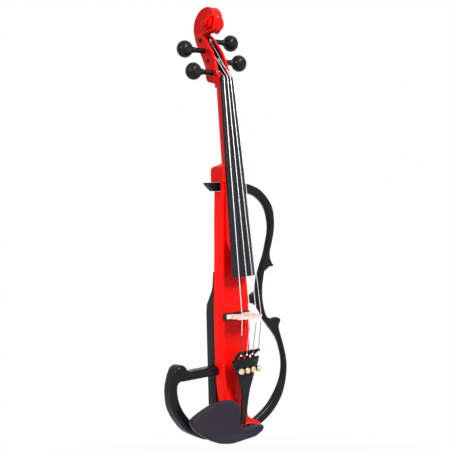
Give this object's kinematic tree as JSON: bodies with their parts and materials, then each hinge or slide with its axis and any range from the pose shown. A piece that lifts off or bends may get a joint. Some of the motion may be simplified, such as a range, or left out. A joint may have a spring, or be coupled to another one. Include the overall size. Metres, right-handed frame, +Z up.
{
  "type": "electric violin",
  "caption": "Full-size electric violin: slim solid body with an open frame, tuning pegs that turn, fine tuners with levers, chin rest, rear housing with knobs, switch, battery door and jacks.",
  "frame": {"origin": "where a hanger yoke carries the instrument, on the centre line under the scroll, at the throat of the pegbox", "axes": "+X to the treble side, +Y to the back, +Z up along the length towards the scroll; the face with the strings looks to -Y"},
  "size_m": [0.2125, 0.106, 0.6005],
  "materials": {
    "red_lacquer": "high-gloss red lacquer over maple",
    "black_lacquer": "high-gloss black lacquer",
    "ebony": "satin black hardwood",
    "black_wood": "polished black hardwood",
    "black_plastic": "semi-matt moulded black",
    "maple": "bare pale maple",
    "string_steel": "fine wound steel",
    "gold_plate": "polished gold plate",
    "nickel_plate": "polished nickel plate",
    "cork": "fine cork sheet",
    "circuit_green": "green solder mask",
    "battery_case": "printed steel case",
    "nylon": "smooth black nylon"
  },
  "bodies": {
    "violin": {"body_core": "red_lacquer", "neck_scroll": "red_lacquer", "upper_crossbar": "black_lacquer", "right_arm": "black_lacquer", "left_arm": "black_lacquer", "rear_housing": "black_lacquer", "fingerboard": "ebony", "nut": "ebony", "saddle": "ebony", "end_button": "black_wood", "chinrest_plate": "black_wood", "tailpiece": "black_plastic", "pickup_base": "black_plastic", "battery_clip": "black_plastic", "bridge": "maple", "string_g": "string_steel", "string_d": "string_steel", "string_a": "string_steel", "string_e": "string_steel", "tuner_axle": "nickel_plate", "chinrest_foot": "nickel_plate", "chinrest_bracket": "nickel_plate", "housing_screw_1": "nickel_plate", "housing_screw_2": "nickel_plate", "housing_screw_3": "nickel_plate", "housing_screw_4": "nickel_plate", "volume_pot": "nickel_plate", "tone_pot": "nickel_plate", "power_switch_body": "nickel_plate", "headphone_jack": "nickel_plate", "output_jack": "nickel_plate", "chinrest_cork_left": "cork", "chinrest_cork_right": "cork", "chinrest_cork_rear": "cork", "circuit_board": "circuit_green", "battery": "battery_case", "tailgut": "nylon", "pickup_wire": "nylon"},
    "peg_g": {"peg_g": "black_wood"},
    "peg_d": {"peg_d": "black_wood"},
    "peg_a": {"peg_a": "black_wood"},
    "peg_e": {"peg_e": "black_wood"},
    "tuner_screw_g": {"tuner_screw_g": "gold_plate"},
    "tuner_lever_g": {"tuner_lever_g": "nickel_plate"},
    "tuner_screw_d": {"tuner_screw_d": "gold_plate"},
    "tuner_lever_d": {"tuner_lever_d": "nickel_plate"},
    "tuner_screw_a": {"tuner_screw_a": "gold_plate"},
    "tuner_lever_a": {"tuner_lever_a": "nickel_plate"},
    "tuner_screw_e": {"tuner_screw_e": "gold_plate"},
    "tuner_lever_e": {"tuner_lever_e": "nickel_plate"},
    "volume_knob": {"volume_knob": "black_plastic"},
    "tone_knob": {"tone_knob": "black_plastic"},
    "power_switch_lever": {"power_switch_lever": "black_plastic"},
    "battery_door": {"battery_door": "black_plastic"},
    "chinrest_barrel_left": {"chinrest_barrel_left": "nickel_plate"},
    "chinrest_barrel_right": {"chinrest_barrel_right": "nickel_plate"}
  },
  "joints": [
    {"name": "peg_g_turn", "type": "hinge", "parent": "violin", "child": "peg_g", "pos_m": [0, -0.02103, -0.05555], "axis": [1, 0, 0], "continuous": true},
    {"name": "peg_d_turn", "type": "hinge", "parent": "violin", "child": "peg_d", "pos_m": [0, -0.00324, -0.02352], "axis": [1, 0, 0], "continuous": true},
    {"name": "peg_a_turn", "type": "hinge", "parent": "violin", "child": "peg_a", "pos_m": [0, 0.00565, -0.0075], "axis": [1, 0, 0], "continuous": true},
    {"name": "peg_e_turn", "type": "hinge", "parent": "violin", "child": "peg_e", "pos_m": [0, -0.01128, -0.03799], "axis": [1, 0, 0], "continuous": true},
    {"name": "tuner_screw_g_turn", "type": "hinge", "parent": "violin", "child": "tuner_screw_g", "pos_m": [-0.0156, -0.064, -0.4625], "axis": [0, 1, 0], "range_deg": [0, 900]},
    {"name": "tuner_lever_g_tilt", "type": "hinge", "parent": "violin", "child": "tuner_lever_g", "pos_m": [-0.0156, -0.05942, -0.451], "axis": [1, 0, 0], "range_deg": [0, 5]},
    {"name": "tuner_screw_d_turn", "type": "hinge", "parent": "violin", "child": "tuner_screw_d", "pos_m": [-0.0052, -0.064, -0.4625], "axis": [0, 1, 0], "range_deg": [0, 900]},
    {"name": "tuner_lever_d_tilt", "type": "hinge", "parent": "violin", "child": "tuner_lever_d", "pos_m": [-0.0052, -0.05942, -0.451], "axis": [1, 0, 0], "range_deg": [0, 5]},
    {"name": "tuner_screw_a_turn", "type": "hinge", "parent": "violin", "child": "tuner_screw_a", "pos_m": [0.0052, -0.064, -0.4625], "axis": [0, 1, 0], "range_deg": [0, 900]},
    {"name": "tuner_lever_a_tilt", "type": "hinge", "parent": "violin", "child": "tuner_lever_a", "pos_m": [0.0052, -0.05942, -0.451], "axis": [1, 0, 0], "range_deg": [0, 5]},
    {"name": "tuner_screw_e_turn", "type": "hinge", "parent": "violin", "child": "tuner_screw_e", "pos_m": [0.0156, -0.064, -0.4625], "axis": [0, 1, 0], "range_deg": [0, 900]},
    {"name": "tuner_lever_e_tilt", "type": "hinge", "parent": "violin", "child": "tuner_lever_e", "pos_m": [0.0156, -0.05942, -0.451], "axis": [1, 0, 0], "range_deg": [0, 5]},
    {"name": "volume_knob_turn", "type": "hinge", "parent": "violin", "child": "volume_knob", "pos_m": [0.03, -0.0167, -0.455], "axis": [1, 0, 0], "range_deg": [0, 300]},
    {"name": "tone_knob_turn", "type": "hinge", "parent": "violin", "child": "tone_knob", "pos_m": [0.03, -0.0167, -0.475], "axis": [1, 0, 0], "range_deg": [0, 300]},
    {"name": "power_switch_slide", "type": "slide", "parent": "violin", "child": "power_switch_lever", "axis": [0, 0, 1], "range_m": [0, 0.003]},
    {"name": "battery_door_hinge", "type": "hinge", "parent": "violin", "child": "battery_door", "pos_m": [0, -0.009, -0.4426], "axis": [-1, 0, 0], "range_deg": [0, 90]},
    {"name": "chinrest_barrel_left_turn", "type": "hinge", "parent": "violin", "child": "chinrest_barrel_left", "pos_m": [-0.017, -0.0365, -0.5565], "axis": [0, 1, 0], "range_deg": [-360, 360]},
    {"name": "chinrest_barrel_right_turn", "type": "hinge", "parent": "violin", "child": "chinrest_barrel_right", "pos_m": [0.017, -0.0365, -0.5565], "axis": [0, 1, 0], "range_deg": [-360, 360]}
  ],
  "couplings": [
    {"joint": "tuner_lever_g_tilt", "follows": "tuner_screw_g_turn", "ratio": 0.0055556},
    {"joint": "tuner_lever_d_tilt", "follows": "tuner_screw_d_turn", "ratio": 0.0055556},
    {"joint": "tuner_lever_a_tilt", "follows": "tuner_screw_a_turn", "ratio": 0.0055556},
    {"joint": "tuner_lever_e_tilt", "follows": "tuner_screw_e_turn", "ratio": 0.0055556}
  ]
}
